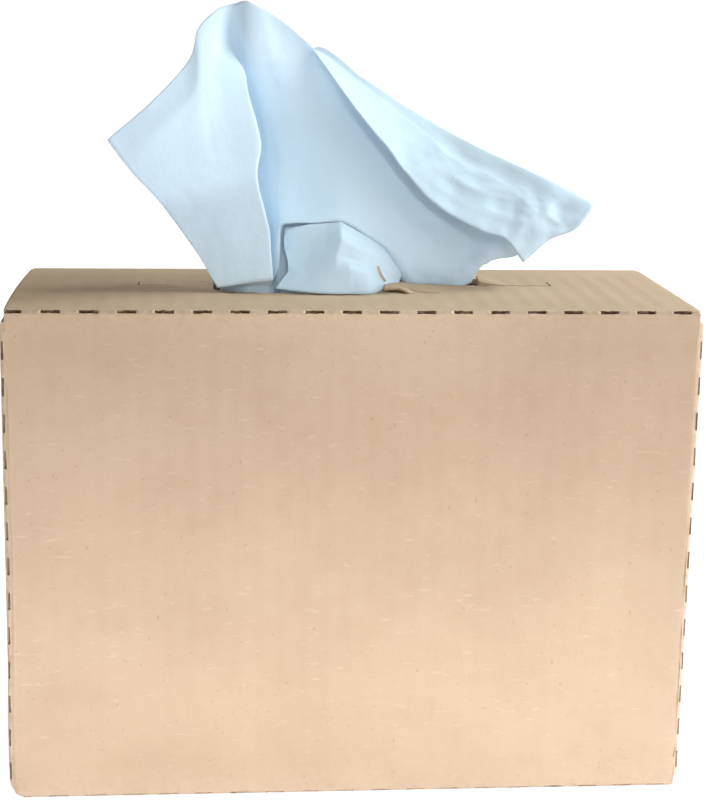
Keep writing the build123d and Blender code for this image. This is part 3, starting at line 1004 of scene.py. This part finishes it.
def make_wipe(name, net, replaced):
    """A thin sheet from a fine net."""
    piece = finish_piece(name, net_mesh(name, net), [wipe_cloth], [replaced])
    skin = piece.modifiers.new("thickness", "SOLIDIFY")
    skin.thickness = cloth_thickness
    skin.offset = 0
    return piece

standing_wipe = make_wipe("standing_wipe", popped_fine, "popped_wipe")
print("standing wipe faces:", len(standing_wipe.data.polygons))

# %% [markdown]
# ## The next wipe
# Only a crumpled lump of it shows. Its columns are laid out in the same way, with corners at
# more of the rows and columns, because a crumple is made of flat facets between creases.

# %% Columns of the next wipe
next_columns = [
    ([(286, 230, 6), (284, 240, 5), (285, 250, 4), (288, 262, 1),
      (288, 272, -1), (276, 288, -5.5)], (-24.5, -3.1)),
    ([(296, 227, 4.5), (292, 240, 3.8), (291, 252, 2.8), (290, 262, 1),
      (296, 275, -3), (290, 290, -7)], (-21.0, -3.8)),
    ([(309, 224.5, 4.2), (308, 238, 3), (311, 252, 1.5), (304, 266, -1),
      (309, 278, -5), (308, 292, -8.5)], (-16.0, -5.5)),
    ([(325, 223.5, 3.5), (326, 236, 1.5), (326, 246, 0), (318, 264, -2.5),
      (321, 274, -5.5), (322, 293, -9.2)], (-10.0, -6.5)),
    ([(341, 223, 2), (341, 231, -1.5), (341, 239, -3.5), (337, 256, -4.5),
      (335, 273, -6.5), (336, 293.5, -9.5)], (-4.0, -7.0)),
    ([(357, 231.5, 4), (356, 238, 0.5), (354, 247, -3), (347, 258, -3.5),
      (350, 269, -7), (350, 293.5, -9.2)], (1.0, -6.5)),
    ([(372, 240, 5.5), (372, 246, 2.5), (368, 253, -1), (362, 262, -3),
      (368, 275, -6.5), (367, 293.5, -8.8)], (5.5, -5.5)),
    ([(382, 245.5, 6), (383, 251, 4), (381, 258, 1.5), (374, 266, -1),
      (375, 280, -4.5), (376.5, 292.5, -7.5)], (9.0, -4.0)),
    ([(392, 251.5, 7), (393, 257, 6), (392, 262, 4.5), (387, 269, 1),
      (384, 279, -1), (384, 289, -5)], (11.5, -2.0)),
    ([(406, 258, 8), (406, 262, 7.5), (405, 267, 7), (403, 273, 6),
      (400, 279, 5), (398, 284, 2)], (12.5, 1.0)),
]
next_far = -41.0
next_near = -9.0
next_layers = 14
next_spread = 3.0
next_seed = 11.0
next_rim = -0.4

next_tail = (next_far, next_near, next_spread, next_layers)
next_net = control_net(next_columns, next_rim, next_tail)
next_visible = 6
next_across = [fine_across] * (len(next_columns) - 1)
next_hidden = next_net.shape[1] - 1 - next_visible
next_down = [fine_across] * next_visible + [fine_hidden] * next_hidden
next_smooth = fine_net(next_net, next_across, next_down)
facet_columns = range(1, len(next_columns) - 1)
facet_rows = range(1, next_visible)
next_creased = fine_net(next_net, next_across, next_down, facet_columns, facet_rows)
crisp = 0.8
next_fine = (1 - crisp) * next_smooth + crisp * next_creased
next_amounts = [calm] * len(next_fine)
next_fine = crumple(next_fine, next_seed, next_amounts, next_visible * fine_across)
make_wipe("drawn_wipe", next_fine, "next_wipe")
print("next wipe, square metres:", round(sheet_area(next_fine), 4))

# %% [markdown]
# ## Torn paper at the mouth
# Where the slot was torn open, a tongue of the top paper stands up a little in front of the
# standing wipe's foot, and a thin shred of it hangs beside the lump. Both are small patches
# between two lines of points, made thick afterwards. The tongue's rim has the cut edges'
# finish, since it is torn.

# %% Lay the torn tongue and the shred
paper_thickness = 0.8 * mm
shred_thickness = 0.3 * paper_thickness
spans_along, spans_across = 4, 6
torn_scale = 0.5
torn_lift = 0.2

def board_place(across, down, above):
    """Place seen at a pixel of the photo, at this height above the top panel, in mm."""
    ray = photo_place(across, down, 0) - camera_place
    reach = (carton_height + above * mm - camera_place.z) / ray.z
    return camera_place + ray * reach

def torn_paper(name, front, back, thickness):
    """A thick patch between two lines of places, with a rough surface."""
    lines = np.array([front, back])
    along_steps = [spans_along] * (len(front) - 1)
    net = fine_net(lines.transpose(1, 0, 2), along_steps, [spans_across])
    for i, j in np.ndindex(net.shape[:2]):
        uneven = rough(Vector(net[i, j]) / mm * torn_scale, 0.9, 3)
        net[i, j] += torn_lift * uneven * thickness
    piece = finish_piece(name, net_mesh(name, net), [liner, cut_edge], [])
    skin = piece.modifiers.new("thickness", "SOLIDIFY")
    skin.thickness = thickness
    skin.offset = -1
    return piece

tongue_front = [board_place(*pick) for pick in (
    (384, 290.5, 0.9), (392, 290, 1.2), (400, 290.7, 1.0), (406, 293, 0.3), (411, 295.6, -0.7),
)]
tongue_back = [Vector((x, y, carton_height / mm + lift)) * mm for x, y, lift in (
    (14.5, 8.5, 1), (19, 8.5, 0.8), (23, 6, 0.2), (25, -3, -0.3), (23, -14, -0.7),
)]
tongue = torn_paper("torn_tongue", tongue_front, tongue_back, paper_thickness)
tongue.modifiers["thickness"].material_offset_rim = 1
left_picks = ((377, 266, -4.5), (379.3, 274, -5), (384.4, 282, -5))
right_picks = ((378.5, 266, -4), (381.5, 273, -5), (386, 281, -5))
shred_left, shred_right = (
    [photo_place(*pick) for pick in picks] for picks in (left_picks, right_picks)
)
torn_paper("paper_shred", shred_left, shred_right, shred_thickness)
print("torn tongue in mm:", [round(length / mm, 1) for length in tongue.dimensions])

# %% [markdown]
# ## The pack inside
# The wipes in the carton lie folded into each other. From the side each one shows as a
# rounded fold, a little further out or in than its neighbours. Looking down through the
# mouth, only the top one shows. The mesh is one profile of small folds, drawn out along the
# pack, with each fold shifted a little by noise.

# %% Lay out the pack of folded wipes
fold_pitch = 2.75
fold_depth = 0.9
points_per_fold = 5
pack_spans = 24
shift_height = 0.5
shift_along, shift_up = 0.03, 0.9
pack_low, pack_high = (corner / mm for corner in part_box("wipe_stack"))

def pack_side(y, outward, fold_count, heights):
    """Profile up one long side: a row of rounded folds."""
    profile = []
    for index in range(fold_count):
        for step in range(points_per_fold):
            share = step / points_per_fold
            depth = math.sin(math.pi * share)
            inset = outward * fold_depth * (1 - depth)
            profile.append((y - inset, heights(index + share)))
    return profile

def pack_mesh():
    """Two long sides of folds, joined over the top and bottom, with closed ends."""
    count = round((pack_high.z - pack_low.z) / fold_pitch)
    step = (pack_high.z - pack_low.z) / count
    rising = pack_side(pack_low.y, -1, count, lambda i: pack_low.z + step * i)
    falling = pack_side(pack_high.y, 1, count, lambda i: pack_high.z - step * i)
    over_top = (pack_low.y + fold_depth, pack_high.z)
    under_foot = (pack_high.y - fold_depth, pack_low.z)
    profile = [*rising, over_top, *falling, under_foot]
    middle_y = (pack_low.y + pack_high.y) / 2
    rings = []
    for span in range(pack_spans + 1):
        x = pack_low.x + (pack_high.x - pack_low.x) * span / pack_spans
        ring = []
        for y, z in profile:
            spot = Vector((x * shift_along, z * shift_up, y))
            shift = shift_height * noise.noise(spot) - shift_height
            ring.append(Vector((x, y - math.copysign(1, middle_y - y) * shift, z)) * mm)
        rings.append(ring)
    size = len(profile)
    points = [p for ring in rings for p in ring]
    faces = []
    for start in range(0, pack_spans * size, size):
        for k in range(size):
            after = (k + 1) % size
            faces.append((start + k, start + size + k, start + size + after, start + after))
    faces.append(tuple(range(size)))
    faces.append(tuple(reversed(range(pack_spans * size, (pack_spans + 1) * size))))
    mesh = bpy.data.meshes.new("folded_pack")
    mesh.from_pydata(points, [], faces)
    mesh.validate()
    return mesh

# %% Make the pack's piece
pack_cloth = cloth_material("folded_wipes", (0.60, 0.78, 0.90), (0.56, 0.74, 0.86))
folded_pack = finish_piece(
    "folded_pack", pack_mesh(), [pack_cloth], ["wipe_stack"], sharp=50
)
print("pack faces:", len(folded_pack.data.polygons))
